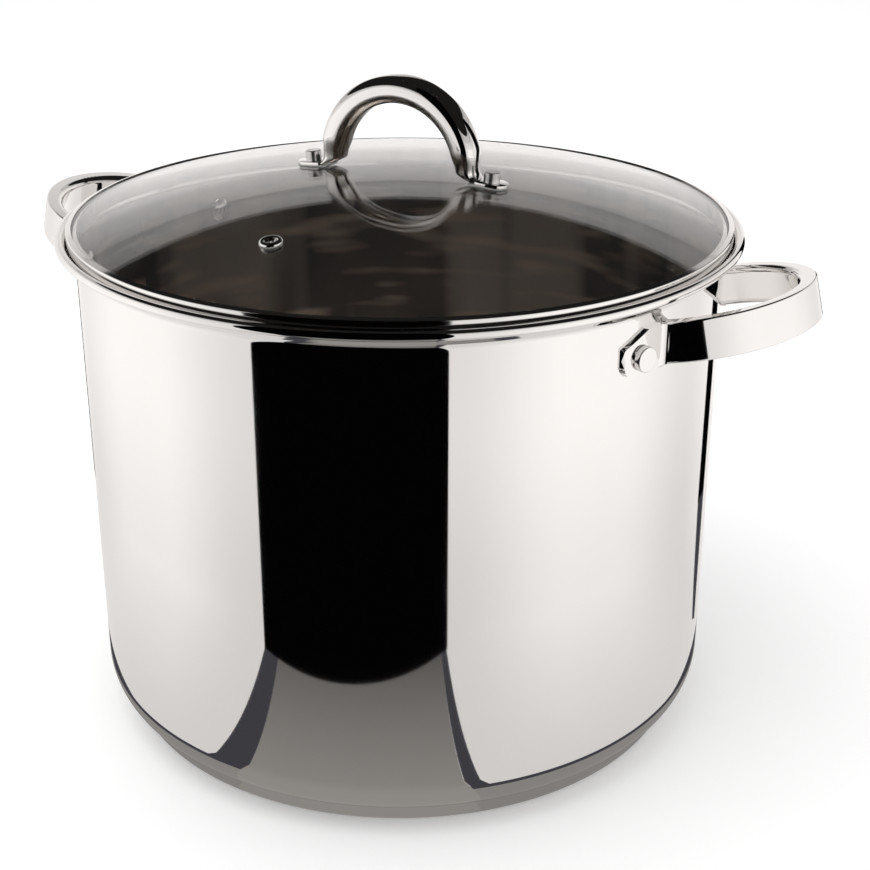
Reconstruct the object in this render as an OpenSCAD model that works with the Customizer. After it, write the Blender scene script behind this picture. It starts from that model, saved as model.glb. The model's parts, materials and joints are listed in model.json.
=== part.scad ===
/* [Pot body] */
// Outside diameter of the wall
pot_d = 280; // [240:2:340]
// Height from the worktop to the top of the lip
pot_h = 223; // [190:1:280]
// Thickness of the wall sheet
wall_t = 0.8; // [0.6:0.1:1]
// Outside radius of the bend between wall and floor
corner_r = 21; // [16:1:26]

/* [Pouring lip] */
// How far the lip stands out from the wall
lip_reach = 8.1; // [7.6:0.1:10]
// Outside radius of the rolled bead
lip_bead_r = 2; // [1.7:0.1:2.3]
// Angle of the flare below the bead, from the vertical
flare_angle = 35; // [30:1:40]
// Outside radius of the bend between wall and flare
flare_bend_r = 5; // [3:0.5:7]
// How far round the bead is rolled
lip_roll = 285; // [260:5:290]

/* [Capsule base] */
// Thickness of the aluminium core under the pot's floor
core_t = 4; // [3:0.5:7]
// Thickness of the steel cap under the core
cap_t = 0.5; // [0.4:0.1:1]
// How far the capsule's side stands in from the wall
cap_inset = 10.4; // [8:0.2:13]
// Outside radius of the cap's lower edge
cap_edge_r = 4; // [2:0.5:4.5]

/* [Side handles] */
// Outside radius of the loop, half its outside width
loop_r = 42.5; // [36:0.5:50]
// How far the centre of the loop's round end stands out from the wall
loop_offset = 2.5; // [0:0.5:12]
// Thickness of the grip, seen from above
grip_t = 7.5; // [6:0.5:10]
// Height of the grip
grip_h = 16.6; // [13:0.2:19]
// Edge rounding on the grip's inner face
grip_inner_r = 3; // [1:0.5:3.5]
// Edge rounding on the grip's outer face
grip_outer_r = 0.8; // [0.4:0.1:2]
// Upward tilt of the loop
loop_tilt = 13.5; // [0:0.5:16]
// Distance from the top of the lip down to the middle of the loop's root
handle_drop = 22.7; // [20:0.1:60]

/* [Handle tabs] */
// Thickness of the tabs that lie on the wall
tab_t = 2; // [1.5:0.1:3]
// Height of a tab
tab_h = 17.6; // [15:0.2:22]
// Length of a tab, measured sideways from the grip's outer face
tab_len = 20.2; // [17:0.1:26]
// Width of the slanted upper corner of a tab
tab_slant_w = 11.6; // [6:0.2:13]
// Height of the slanted upper corner of a tab
tab_slant_h = 6; // [3:0.2:7]
// Rounding of the lower corner of a tab
tab_corner_r = 4.5; // [2:0.5:5]
// Fillet between grip and tab
tab_fillet_r = 3; // [1.5:0.5:3.5]

/* [Rivets] */
// Sideways distance of each rivet from the grip's outer face
rivet_offset = 10; // [9:0.1:11]
// How far each rivet sits below the middle of the loop's root
rivet_drop = 2.5; // [0:0.1:3]
// Diameter of a rivet's shank
rivet_d = 5; // [4:0.5:6]
// Diameter of the flat head outside
rivet_head_d = 10.3; // [8:0.1:11]
// Thickness of the flat head outside
rivet_head_t = 2.5; // [1.5:0.1:3]
// Edge rounding of the flat head
rivet_edge_r = 0.6; // [0.2:0.1:1]
// Diameter of the domed head inside
rivet_dome_d = 12; // [9:0.5:14]
// Height of the domed head inside
rivet_dome_h = 2.2; // [1.5:0.1:3]

/* [Lid glass] */
// Radius of the dome's upper surface
dome_r = 550; // [480:2:700]
// Thickness of the glass
glass_t = 4; // [3:0.5:5]

/* [Lid band] */
// Thickness of the band's sheet
band_t = 0.5; // [0.4:0.1:0.6]
// How wide the band laps over the glass
band_lap = 1.9; // [1.5:0.1:4]
// Outside rounding of the band's corners
band_round_r = 0.8; // [0.7:0.1:1]
// Free space between the band and the bead
band_gap = 0.8; // [0.5:0.1:1.2]
// Free space between the glass edge and the band
glass_edge_gap = 0.4; // [0.3:0.1:0.6]
// Film of sealant between the glass and the band's laps
sealant_t = 0.1; // [0.1:0.05:0.3]
// Depth of the skirt inside the pot
skirt_h = 6; // [4:0.5:10]
// Free space between the skirt and the wall
skirt_gap = 0.8; // [0.5:0.1:2]
// Clearance between the resting lid and the flare
seat_gap = 0.3; // [0.2:0.05:0.5]

/* [Steam vent] */
// Distance of the vent from the lid's middle
vent_r = 94.9; // [75:0.5:105]
// Direction of the vent, seen from above
vent_angle = -94.5; // [-115:0.5:-65]
// Bore of the vent
vent_bore = 4; // [3:0.5:5]
// Wall of the eyelet's barrel
vent_wall = 0.5; // [0.4:0.1:0.8]
// Diameter of the eyelet's upper flange
vent_flange_d = 9.6; // [9.4:0.2:13]
// Height of the eyelet's upper flange
vent_flange_h = 1.4; // [1:0.1:1.4]
// Thickness of the edge that is rolled over underneath
vent_roll_t = 0.7; // [0.5:0.1:1.2]
// Diameter of the edge that is rolled over underneath
vent_roll_d = 8.6; // [8:0.2:12]
// Wall of the seal between eyelet and glass
vent_seal_t = 0.8; // [0.6:0.1:1]
// Thickness of the seal's collar on the glass
vent_collar_t = 0.4; // [0.3:0.1:0.8]
// How far the seal stands out under the glass
vent_seal_proud = 0.2; // [0.1:0.1:0.5]

/* [Lid handle] */
// Outside radius of the bow
bow_r = 37.5; // [32:0.5:50]
// Thickness of the bow's tube, across the bend
bow_t = 11.4; // [10:0.2:13]
// Width of the bow's tube
bow_w = 13.8; // [11:0.2:16]
// Edge rounding of the bow's tube
bow_round_r = 4.6; // [3:0.2:4.8]
// Height of the bow's middle above the lugs
bow_lift = 3.25; // [2.75:0.25:8]
// Wall of the bow's tube
bow_wall = 1.2; // [0.8:0.1:1.6]
// Angle of each end of the bow over which the tube necks in
neck_angle = 16; // [10:1:30]
// Thickness of the tube at the neck
neck_t = 8.8; // [8:0.1:10]
// Width of the tube at the neck
neck_w = 11.4; // [10:0.2:13]
// Thickness of the pinched lugs
lug_t = 1.4; // [1:0.1:2]
// Width of the lugs
lug_w = 10.4; // [9.6:0.2:13]
// Length of a lug from its screw to its tip
lug_tip = 7.4; // [7:0.1:10]
// Length of a lug from its screw back to the pinched tube
lug_back = 8.8; // [8:0.1:10]

/* [Lid fasteners] */
// Distance of each screw from the bow's outer face
screw_reach = 5.4; // [5:0.1:9]
// Diameter of the screws
screw_d = 4; // [3:0.5:4.5]
// Free space round a screw in its holes
screw_clear = 0.15; // [0.1:0.05:0.3]
// How far a screw reaches into its cap nut
screw_grip = 2.4; // [2:0.1:2.6]
// Diameter of the screw heads
screw_head_d = 8; // [7:0.5:10]
// Height of the screw heads
screw_head_h = 2.4; // [2:0.1:3.5]
// Edge rounding of the screw heads
screw_edge_r = 1.2; // [0.4:0.1:1.8]
// Diameter of the round cap nuts
nut_d = 7; // [6.6:0.1:7.8]
// Height of the round cap nuts
nut_h = 4.4; // [4.2:0.1:8]
// Top thickness of the cap nuts
nut_cap_t = 1.4; // [1:0.1:1.6]
// Edge rounding of the cap nuts
nut_edge_r = 0.4; // [0.2:0.1:0.8]
// Thickness of the pads between lugs and glass
pad_t = 0.5; // [0.4:0.1:1.5]
// Wall of the bush that lines each hole in the glass
bush_t = 1.2; // [0.8:0.1:1.5]
// Diameter of the washers under the glass
washer_d = 13; // [11:0.5:18]
// Thickness of the soft washers under the glass
soft_washer_t = 1.2; // [0.8:0.1:2]
// Thickness of the steel washers
steel_washer_t = 0.8; // [0.5:0.1:1.5]

/* [Hidden] */
$fn = 180;
// Fineness of the dome's long arcs, and of the rounds inside hull()
dome_fn = 720;
hull_fn = 32;
// Overlap that makes a cut run clean through, and a length that reaches past the object
eps = 0.1;
far = 600;
// Length of a cut through the glass that stays clear of the other side of its sphere
glass_cut = 150;
// Overlap of sections that run on into each other, and inset of a foot's end inside its lug
lap = 0.05;

// Pot body
pot_r = pot_d / 2;
inner_r = pot_r - wall_t;
floor_z = cap_t + core_t;
corner_x = pot_r - corner_r;
corner_z = floor_z + corner_r;
cap_r = pot_r - cap_inset;

// Lip: a flared cone that ends in a rolled bead
flare_cos = cos(flare_angle);
flare_sin = sin(flare_angle);
bead_x = pot_r + lip_reach - lip_bead_r;
bead_z = pot_h - lip_bead_r;
// Point where the flare's inner face runs into the bead
flare_top_x = bead_x - lip_bead_r * flare_cos;
flare_top_z = bead_z + lip_bead_r * flare_sin;
// The bend's centre stands outside the wall and touches wall and flare alike
bend_x = pot_r + flare_bend_r;
bend_inner_r = flare_bend_r + wall_t;
bend_z = flare_top_z - ((flare_top_x - bend_x) * flare_cos + bend_inner_r) / flare_sin;
bend_end_x = bend_x - bend_inner_r * flare_cos;
bend_end_z = bend_z + bend_inner_r * flare_sin;
flare_len = (flare_top_x - bend_end_x) / flare_sin;

// Side handles
loop_x = pot_r + loop_offset;
loop_z = pot_h - handle_drop;
root_x = sqrt(pow(pot_r, 2) - pow(loop_r, 2));
tab_r = pot_r + tab_t;
tab_z = loop_z - tab_h / 2;
tab_reach = loop_r + tab_len;
rivet_z = loop_z - rivet_drop;
rivet_angle = asin((loop_r + rivet_offset) / pot_r);

// Lid band: its lower corner is held off the flare by seat_gap
band_r = bead_x - lip_bead_r - band_gap;
band_corner_x = band_r - band_round_r;
band_corner_z = flare_top_z
    + (band_round_r + seat_gap + (band_corner_x - flare_top_x) * flare_cos) / flare_sin;
skirt_r = inner_r - skirt_gap;

// Dome: all its surfaces are spheres round one centre
under_r = dome_r - glass_t;
lap_under_r = under_r - sealant_t;
lap_over_r = dome_r + sealant_t;
band_under_r = lap_under_r - band_t;
band_over_r = lap_over_r + band_t;
dome_z = band_corner_z - sqrt(pow(band_under_r + band_round_r, 2) - pow(band_corner_x, 2));
edge_slope = asin(band_corner_x / (band_under_r + band_round_r));
band_top_z = dome_z + sqrt(pow(band_over_r - band_round_r, 2) - pow(band_corner_x, 2));
glass_r = band_r - band_t - glass_edge_gap;

// Lid handle and its fasteners, in a frame that stands on the dome at each screw
screw_r = bow_r + screw_reach;
screw_slope = asin(screw_r / dome_r);
lug_top = pad_t + lug_t;
// The necked ends start inside the wall of the bow's tube: a share of the necking, and an angle
neck_start = 0.12;
neck_bite = 1;
bow_z = dome_z + dome_r * cos(screw_slope) + lug_top + bow_lift;
bow_mid_r = bow_r - bow_t / 2;
lug_bend = -(screw_reach + nut_d / 2) / 2;
screw_hole_d = screw_d + 2 * screw_clear;
bush_d = screw_hole_d + 2 * bush_t;
// The pad meets the dome round the hole, the soft washer meets its underside round the rim
pad_sink = pow(bush_d / 2, 2) / (2 * dome_r);
soft_top = -glass_t - pow(washer_d / 2, 2) / (2 * under_r);
head_z = soft_top - soft_washer_t - steel_washer_t;

// Steam vent, in the same kind of frame
vent_barrel_d = vent_bore + 2 * vent_wall;
vent_hole_d = vent_barrel_d + 2 * vent_seal_t;
vent_seal_z = -glass_t - vent_seal_proud;

// ---------- helpers ----------

// Waste between a sharp corner at the origin and a fillet of radius r; sx and sy point to the corner
module corner_waste(r, sx, sy) {
    difference() {
        translate([sx > 0 ? -r : -eps, sy > 0 ? -r : -eps]) square(r + eps);
        translate([-sx * r, -sy * r]) circle(r);
    }
}

// Sector of a ring between two angles that are less than 120 degrees apart
module ring_sector(r_out, r_in, from, to) {
    middle = (from + to) / 2;
    reach = 3 * r_out;
    intersection() {
        difference() {
            circle(r_out);
            circle(r_in);
        }
        polygon([[0, 0],
                 reach * [cos(from), sin(from)],
                 reach * [cos(middle), sin(middle)],
                 reach * [cos(to), sin(to)]]);
    }
}

// Frame that stands on the dome at distance r from the axis, in direction angle
module on_dome(r, angle) {
    rotate([0, 0, angle])
        translate([0, 0, dome_z])
            rotate([0, asin(r / dome_r), 0])
                translate([0, 0, dome_r])
                    children();
}

// Frame at a rivet: its Z axis points out of the wall
module at_rivet(angle) {
    rotate([0, 0, angle]) translate([0, 0, rivet_z]) rotate([0, 90, 0]) children();
}

// Section between two spheres of the dome and between two distances from the axis
module dome_section(r_out, r_in, from, to) {
    intersection() {
        translate([0, dome_z]) difference() {
            circle(r_out, $fn = dome_fn);
            circle(r_in, $fn = dome_fn);
        }
        translate([from, 0]) square([to - from, far]);
    }
}

// ---------- pot ----------

// Section of the pot below the lip, shrunk on all sides
module body_section(shrink) {
    translate([0, floor_z + shrink]) square([corner_x, bend_z + lap - floor_z - shrink]);
    translate([0, corner_z]) square([pot_r - shrink, bend_z + lap - corner_z]);
    translate([corner_x, corner_z]) circle(corner_r - shrink);
}

// Section of the lip: bend, straight flare and rolled bead
module lip_section() {
    translate([bend_x, bend_z]) ring_sector(bend_inner_r, flare_bend_r, 180 - flare_angle, 180);
    translate([bend_end_x, bend_end_z]) rotate(-flare_angle)
        translate([0, -lap]) square([wall_t, flare_len + 2 * lap]);
    translate([bead_x, bead_z])
        for (part = [0 : 2])
            ring_sector(lip_bead_r, lip_bead_r - wall_t,
                        180 - flare_angle - lip_roll * (part + 1) / 3,
                        180 - flare_angle - lip_roll * part / 3);
}

module pot_shell() {
    color("gainsboro")
    difference() {
        rotate_extrude() {
            difference() {
                body_section(0);
                body_section(wall_t);
            }
            lip_section();
        }
        for (side = [0, 180], turn = [-1, 1])
            at_rivet(side + turn * rivet_angle)
                translate([0, 0, corner_x]) cylinder(h = far, d = rivet_d);
    }
}

// Section of the capsule below the pot's floor and bend, shrunk on its free sides
module capsule_section(shrink) {
    difference() {
        union() {
            translate([0, shrink]) square([cap_r - cap_edge_r, corner_z]);
            translate([0, cap_edge_r]) square([cap_r - shrink, corner_z]);
            translate([cap_r - cap_edge_r, cap_edge_r]) circle(cap_edge_r - shrink);
        }
        translate([0, floor_z]) square([corner_x, far]);
        translate([0, corner_z]) square([pot_r, far]);
        translate([corner_x, corner_z]) circle(corner_r);
    }
}

module base_core_disc() {
    color("silver") rotate_extrude() capsule_section(cap_t);
}

module base_cap() {
    color("lightgray")
    rotate_extrude() difference() {
        capsule_section(0);
        capsule_section(cap_t);
    }
}

// ---------- side handles ----------

// Section of the grip: x runs to its outer face, y is its height
module grip_section() {
    difference() {
        translate([loop_r - grip_t, -grip_h / 2]) square([grip_t, grip_h]);
        for (s = [-1, 1]) {
            translate([loop_r, s * grip_h / 2]) corner_waste(grip_outer_r, 1, s);
            translate([loop_r - grip_t, s * grip_h / 2]) corner_waste(grip_inner_r, -1, s);
        }
    }
}

// Outline of a tab, drawn flat: x runs away from the handle's middle, y is the height
module tab_outline() {
    difference() {
        translate([loop_r - grip_t / 2, 0]) square([tab_len + grip_t / 2, tab_h]);
        polygon([[tab_reach + eps, tab_h - tab_slant_h],
                 [tab_reach + eps, tab_h + eps],
                 [tab_reach - tab_slant_w, tab_h + eps],
                 [tab_reach - tab_slant_w, tab_h],
                 [tab_reach, tab_h - tab_slant_h]]);
        translate([tab_reach, 0]) corner_waste(tab_corner_r, 1, -1);
    }
}

// Plan of the fillet between the grip's outer face and a tab
module fillet_plan() {
    y = loop_r + tab_fillet_r;
    x = sqrt(pow(tab_r + tab_fillet_r, 2) - pow(y, 2));
    touch = [x, y] * tab_r / (tab_r + tab_fillet_r);
    difference() {
        polygon([[x, y], touch, touch - [tab_t, 0], [touch[0] - tab_t, loop_r - grip_t / 2],
                 [x, loop_r - grip_t / 2]]);
        translate([x, y]) circle(tab_fillet_r);
    }
}

module side_handle() {
    difference() {
        union() {
            // Loop, tilted up about the line where it leaves the wall
            translate([root_x, 0, loop_z]) rotate([0, -loop_tilt, 0]) {
                translate([loop_x - root_x, 0, 0])
                    rotate_extrude(angle = 180, start = -90) grip_section();
                for (s = [0, 1]) mirror([0, s, 0]) translate([-grip_h / 2, 0, 0])
                    rotate([90, 0, 90]) linear_extrude(loop_x - root_x + grip_h / 2) grip_section();
            }
            // Tabs that lie on the wall
            intersection() {
                translate([0, 0, tab_z]) cylinder(h = tab_h, r = tab_r);
                for (s = [0, 1]) mirror([0, s, 0])
                    translate([0, 0, tab_z]) rotate([90, 0, 90]) linear_extrude(far) tab_outline();
            }
            // Fillets, flush with the top and bottom of the grip
            intersection() {
                for (s = [0, 1]) mirror([0, s, 0])
                    translate([0, 0, tab_z]) linear_extrude(tab_h) fillet_plan();
                translate([root_x, 0, loop_z]) rotate([0, -loop_tilt, 0])
                    cube([pot_r, pot_r, grip_h], center = true);
            }
        }
        cylinder(h = pot_h, r = pot_r);
        for (turn = [-1, 1]) at_rivet(turn * rivet_angle) cylinder(h = far, d = rivet_d);
    }
}

module side_handle_right() { color("whitesmoke") side_handle(); }
module side_handle_left() { color("whitesmoke") rotate([0, 0, 180]) side_handle(); }

// Flat head of a rivet, with its hidden side on the plane z = 0
module rivet_head() {
    head_h = tab_t + rivet_head_t;
    rotate_extrude() difference() {
        square([rivet_head_d / 2, head_h]);
        translate([rivet_head_d / 2, head_h]) corner_waste(rivet_edge_r, 1, 1);
    }
}

// Low dome of a rivet, with its round side down on the plane z = 0
module rivet_dome() {
    ball_r = (pow(rivet_dome_d / 2, 2) + pow(rivet_dome_h, 2)) / (2 * rivet_dome_h);
    intersection() {
        translate([0, 0, ball_r]) sphere(ball_r);
        cylinder(h = 2 * rivet_dome_h, d = rivet_dome_d);
    }
}

// Rivet with its flat head on the tab and its dome on the inside of the wall
module rivet(angle) {
    color("white") {
        at_rivet(angle) translate([0, 0, inner_r - eps])
            cylinder(h = tab_r - inner_r + 2 * eps, d = rivet_d);
        difference() {
            at_rivet(angle) translate([0, 0, pot_r]) rivet_head();
            cylinder(h = pot_h, r = tab_r);
        }
        intersection() {
            at_rivet(angle) translate([0, 0, inner_r - rivet_dome_h]) rivet_dome();
            cylinder(h = pot_h, r = inner_r);
        }
    }
}

module rivet_right_front() { rivet(-rivet_angle); }
module rivet_right_back() { rivet(rivet_angle); }
module rivet_left_front() { rivet(180 + rivet_angle); }
module rivet_left_back() { rivet(180 - rivet_angle); }

// ---------- lid ----------

module lid_glass() {
    color("lightcyan", 0.4)
    difference() {
        rotate_extrude() dome_section(dome_r, under_r, 0, glass_r);
        for (side = [0, 180]) on_dome(screw_r, side) cylinder(h = glass_cut, d = bush_d, center = true);
        on_dome(vent_r, vent_angle) cylinder(h = glass_cut, d = vent_hole_d, center = true);
    }
}

// Section of the band: upper lap, outer wall, lower lap and skirt
module band_section() {
    dx = band_round_r * sin(edge_slope);
    lap_x = band_r - band_t - band_lap;
    difference() {
        union() {
            dome_section(band_over_r, lap_over_r, lap_x, band_r);
            dome_section(band_over_r, band_under_r, band_r - band_t, band_r);
            dome_section(lap_under_r, band_under_r, skirt_r - band_t, band_r);
        }
        difference() {
            translate([band_corner_x - dx, band_corner_z - glass_t]) square(glass_t);
            translate([band_corner_x, band_corner_z]) circle(band_round_r);
        }
        difference() {
            translate([band_corner_x + dx, band_top_z]) square(glass_t);
            translate([band_corner_x, band_top_z]) circle(band_round_r);
        }
    }
    skirt_top = dome_z + sqrt(pow(lap_under_r, 2) - pow(skirt_r, 2));
    translate([skirt_r - band_t, skirt_top - skirt_h]) square([band_t, skirt_h]);
}

module lid_rim_band() {
    color("silver") rotate_extrude() band_section();
}

// Eyelet with a domed flange on the seal and an edge rolled over underneath
module vent_eyelet() {
    bore_r = vent_bore / 2;
    half_w = vent_flange_d / 4 - bore_r / 2;
    arc_r = (pow(half_w, 2) + pow(vent_flange_h, 2)) / (2 * vent_flange_h);
    color("silver")
    on_dome(vent_r, vent_angle) rotate_extrude() {
        translate([bore_r, vent_seal_z - vent_roll_t])
            square([vent_wall, vent_roll_t - vent_seal_z + vent_collar_t + vent_flange_h / 2]);
        translate([bore_r, vent_seal_z - vent_roll_t])
            square([vent_roll_d / 2 - bore_r, vent_roll_t]);
        intersection() {
            translate([bore_r + half_w, vent_collar_t + vent_flange_h - arc_r]) circle(arc_r);
            translate([bore_r, vent_collar_t]) square([2 * half_w, vent_flange_h]);
        }
    }
}

module vent_seal() {
    color("dimgray")
    on_dome(vent_r, vent_angle) difference() {
        union() {
            translate([0, 0, vent_seal_z])
                cylinder(h = vent_collar_t - vent_seal_z, d = vent_hole_d);
            cylinder(h = vent_collar_t, d = vent_flange_d);
        }
        cylinder(h = far, d = vent_barrel_d, center = true);
    }
}

// ---------- lid handle ----------

// Section of the bow's tube with its middle at the origin, shrunk on all sides
module bow_section(shrink) {
    x = bow_t / 2 - bow_round_r;
    y = bow_w / 2 - bow_round_r;
    square([2 * x, bow_w - 2 * shrink], center = true);
    square([bow_t - 2 * shrink, 2 * y], center = true);
    for (sx = [-1, 1], sy = [-1, 1]) translate([sx * x, sy * y]) circle(bow_round_r - shrink);
}

// Outline of a lug in its screw's frame, from the bow to the round tip
module lug_outline() {
    translate([-lug_back, -lug_w / 2]) square([lug_back + lug_tip - lug_w / 2, lug_w]);
    translate([lug_tip - lug_w / 2, 0]) circle(d = lug_w);
}

// Thin level slice of the tube at an angle of the bow; share runs from 0, full size, to 1, the neck
module neck_slice(angle, share) {
    translate([bow_mid_r * cos(angle), 0, bow_z + bow_mid_r * sin(angle)]) linear_extrude(eps)
        scale([1 - share * (1 - neck_t / bow_t), 1 - share * (1 - neck_w / bow_w)])
            bow_section(0, $fn = hull_fn);
}

// Foot where the tube necks in and is pinched flat: its inner wall bends out into the lug
module pinched_foot() {
    hull() {
        neck_slice(neck_angle + neck_bite, neck_start);
        neck_slice(neck_angle / 2, 1 / 2);
    }
    hull() {
        neck_slice(neck_angle / 2, 1 / 2);
        neck_slice(0, 1);
    }
    hull() {
        neck_slice(0, 1);
        on_dome(screw_r, 0) translate([lap - lug_back, lap - lug_w / 2, pad_t + lap])
            cube([lug_back + lug_bend, lug_w - 2 * lap, lug_t - 2 * lap]);
    }
}

module lid_handle() {
    color("whitesmoke")
    difference() {
        union() {
            translate([0, 0, bow_z]) rotate([90, 0, 0]) rotate([0, 0, neck_angle])
                rotate_extrude(angle = 180 - 2 * neck_angle) translate([bow_mid_r, 0]) difference() {
                    bow_section(0);
                    bow_section(bow_wall);
                }
            for (side = [0, 180]) {
                rotate([0, 0, side]) pinched_foot();
                on_dome(screw_r, side) translate([0, 0, pad_t]) linear_extrude(lug_t) lug_outline();
            }
        }
        for (side = [0, 180]) on_dome(screw_r, side) cylinder(h = bow_r, d = screw_hole_d);
    }
}

// Round cap nut with a blind bore
module cap_nut(side) {
    color("gainsboro")
    on_dome(screw_r, side) translate([0, 0, lug_top]) rotate_extrude() difference() {
        square([nut_d / 2, nut_h]);
        square([screw_hole_d / 2, nut_h - nut_cap_t]);
        translate([nut_d / 2, nut_h]) corner_waste(nut_edge_r, 1, 1);
    }
}

// Screw from below: a pan head under the washers and a shank up into the cap nut
module lid_screw(side) {
    color("silver")
    on_dome(screw_r, side) {
        translate([0, 0, head_z - screw_head_h]) rotate_extrude() difference() {
            square([screw_head_d / 2, screw_head_h]);
            translate([screw_head_d / 2, 0]) corner_waste(screw_edge_r, 1, -1);
        }
        translate([0, 0, head_z - eps]) cylinder(h = lug_top + screw_grip - head_z + eps, d = screw_d);
    }
}

module steel_washer(side) {
    color("silver")
    on_dome(screw_r, side) translate([0, 0, head_z]) linear_extrude(steel_washer_t) difference() {
        circle(d = washer_d);
        circle(d = screw_hole_d);
    }
}

// Flat ring that is pressed up against the glass
module soft_washer(side) {
    color("lightgray")
    on_dome(screw_r, side) translate([0, 0, soft_top - soft_washer_t])
        linear_extrude(soft_washer_t) difference() {
            circle(d = washer_d);
            circle(d = screw_hole_d);
        }
}

// Soft pad under a lug, with the bush that lines the hole in the glass
module handle_pad(side) {
    color("lightgray")
    on_dome(screw_r, side) difference() {
        union() {
            translate([0, 0, -pad_sink]) linear_extrude(pad_t + pad_sink) lug_outline();
            translate([0, 0, -glass_t]) cylinder(h = glass_t + pad_t, d = bush_d);
        }
        cylinder(h = far, d = screw_hole_d, center = true);
    }
}

module cap_nut_right() { cap_nut(0); }
module cap_nut_left() { cap_nut(180); }
module lid_screw_right() { lid_screw(0); }
module lid_screw_left() { lid_screw(180); }
module steel_washer_right() { steel_washer(0); }
module steel_washer_left() { steel_washer(180); }
module soft_washer_right() { soft_washer(0); }
module soft_washer_left() { soft_washer(180); }
module handle_pad_right() { handle_pad(0); }
module handle_pad_left() { handle_pad(180); }

pot_shell();
base_core_disc();
base_cap();
side_handle_right();
side_handle_left();
rivet_right_front();
rivet_right_back();
rivet_left_front();
rivet_left_back();
lid_glass();
lid_rim_band();
vent_eyelet();
vent_seal();
lid_handle();
cap_nut_right();
cap_nut_left();
lid_screw_right();
lid_screw_left();
steel_washer_right();
steel_washer_left();
soft_washer_right();
soft_washer_left();
handle_pad_right();
handle_pad_left();
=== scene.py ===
"""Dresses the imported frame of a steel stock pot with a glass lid.

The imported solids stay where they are. Each class below stands for one
sub-assembly: it holds its sizes in millimetres, models its pieces in the
frame's own coordinates and gives them their finishes.
"""

from __future__ import annotations

import functools
import json
import logging
import math
from dataclasses import dataclass
from enum import Enum

import bmesh
import bpy
from mathutils import Matrix, Vector

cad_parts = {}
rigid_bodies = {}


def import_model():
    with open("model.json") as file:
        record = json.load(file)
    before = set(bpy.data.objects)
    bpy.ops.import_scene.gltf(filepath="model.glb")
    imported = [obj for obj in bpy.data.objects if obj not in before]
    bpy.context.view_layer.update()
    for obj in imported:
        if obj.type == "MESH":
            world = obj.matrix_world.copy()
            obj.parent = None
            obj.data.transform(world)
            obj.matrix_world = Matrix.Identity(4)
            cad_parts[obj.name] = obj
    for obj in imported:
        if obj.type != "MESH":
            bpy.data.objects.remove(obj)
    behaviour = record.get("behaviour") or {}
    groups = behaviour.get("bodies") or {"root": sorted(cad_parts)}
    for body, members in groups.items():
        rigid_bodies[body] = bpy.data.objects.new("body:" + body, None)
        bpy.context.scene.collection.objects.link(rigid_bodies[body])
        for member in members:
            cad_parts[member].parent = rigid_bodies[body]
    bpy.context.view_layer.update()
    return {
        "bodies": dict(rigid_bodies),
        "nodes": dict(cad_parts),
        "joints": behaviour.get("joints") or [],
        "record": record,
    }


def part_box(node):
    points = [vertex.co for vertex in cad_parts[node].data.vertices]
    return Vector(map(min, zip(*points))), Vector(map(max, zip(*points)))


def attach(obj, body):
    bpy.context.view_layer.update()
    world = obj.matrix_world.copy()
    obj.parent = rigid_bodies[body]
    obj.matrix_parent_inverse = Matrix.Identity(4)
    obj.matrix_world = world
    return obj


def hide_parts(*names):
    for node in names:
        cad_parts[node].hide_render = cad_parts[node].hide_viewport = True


LOG = logging.getLogger("stock_pot")
MM = 0.001
MERGE_DISTANCE = 1e-6
ROUND_SEGMENTS = 288
SHARP_ANGLE = 35.0
FLAT_FACE_WEIGHT = 60
UP = Vector((0.0, 0.0, 1.0))
ORIGIN = Vector((0.0, 0.0, 0.0))

BMesh = bmesh.types.BMesh
Material = bpy.types.Material
Object = bpy.types.Object
Socket = bpy.types.NodeSocket
Pair = tuple[float, float]
Triple = tuple[float, float, float]


# ---- node helper


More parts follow.
